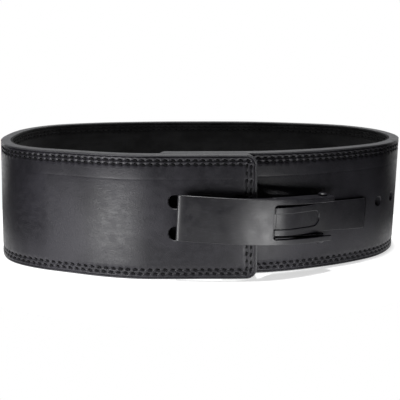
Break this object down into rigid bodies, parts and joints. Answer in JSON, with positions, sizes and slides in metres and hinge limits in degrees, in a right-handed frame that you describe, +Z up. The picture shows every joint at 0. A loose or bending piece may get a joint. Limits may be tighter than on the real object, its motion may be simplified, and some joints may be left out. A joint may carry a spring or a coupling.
{
  "type": "weightlifting belt",
  "caption": "Thick leather weightlifting belt closed into a loop, with stitched edges, suede lining and a black steel lever buckle.",
  "frame": {"origin": "centre of the belt's footprint, on the surface that its bottom edge stands on", "axes": "+X along the loop's long axis, from the lever's finger end towards its mounting plate; +Y from the buckle towards the back of the belt; +Z up, across the strap's width"},
  "size_m": [0.3596, 0.2372, 0.1],
  "materials": {
    "leather": "matt black, edges cut raw and dyed grey",
    "suede": "black napped suede",
    "black_steel": "satin black powder coat"
  },
  "bodies": {
    "root": {"belt_leather": "leather", "suede_lining": "suede", "lever": "black_steel", "mounting_plate": "black_steel", "hook_plate": "black_steel", "pivot_pin": "black_steel", "upper_rivet": "black_steel", "lower_rivet": "black_steel", "left_screw": "black_steel", "right_screw": "black_steel"}
  },
  "joints": []
}
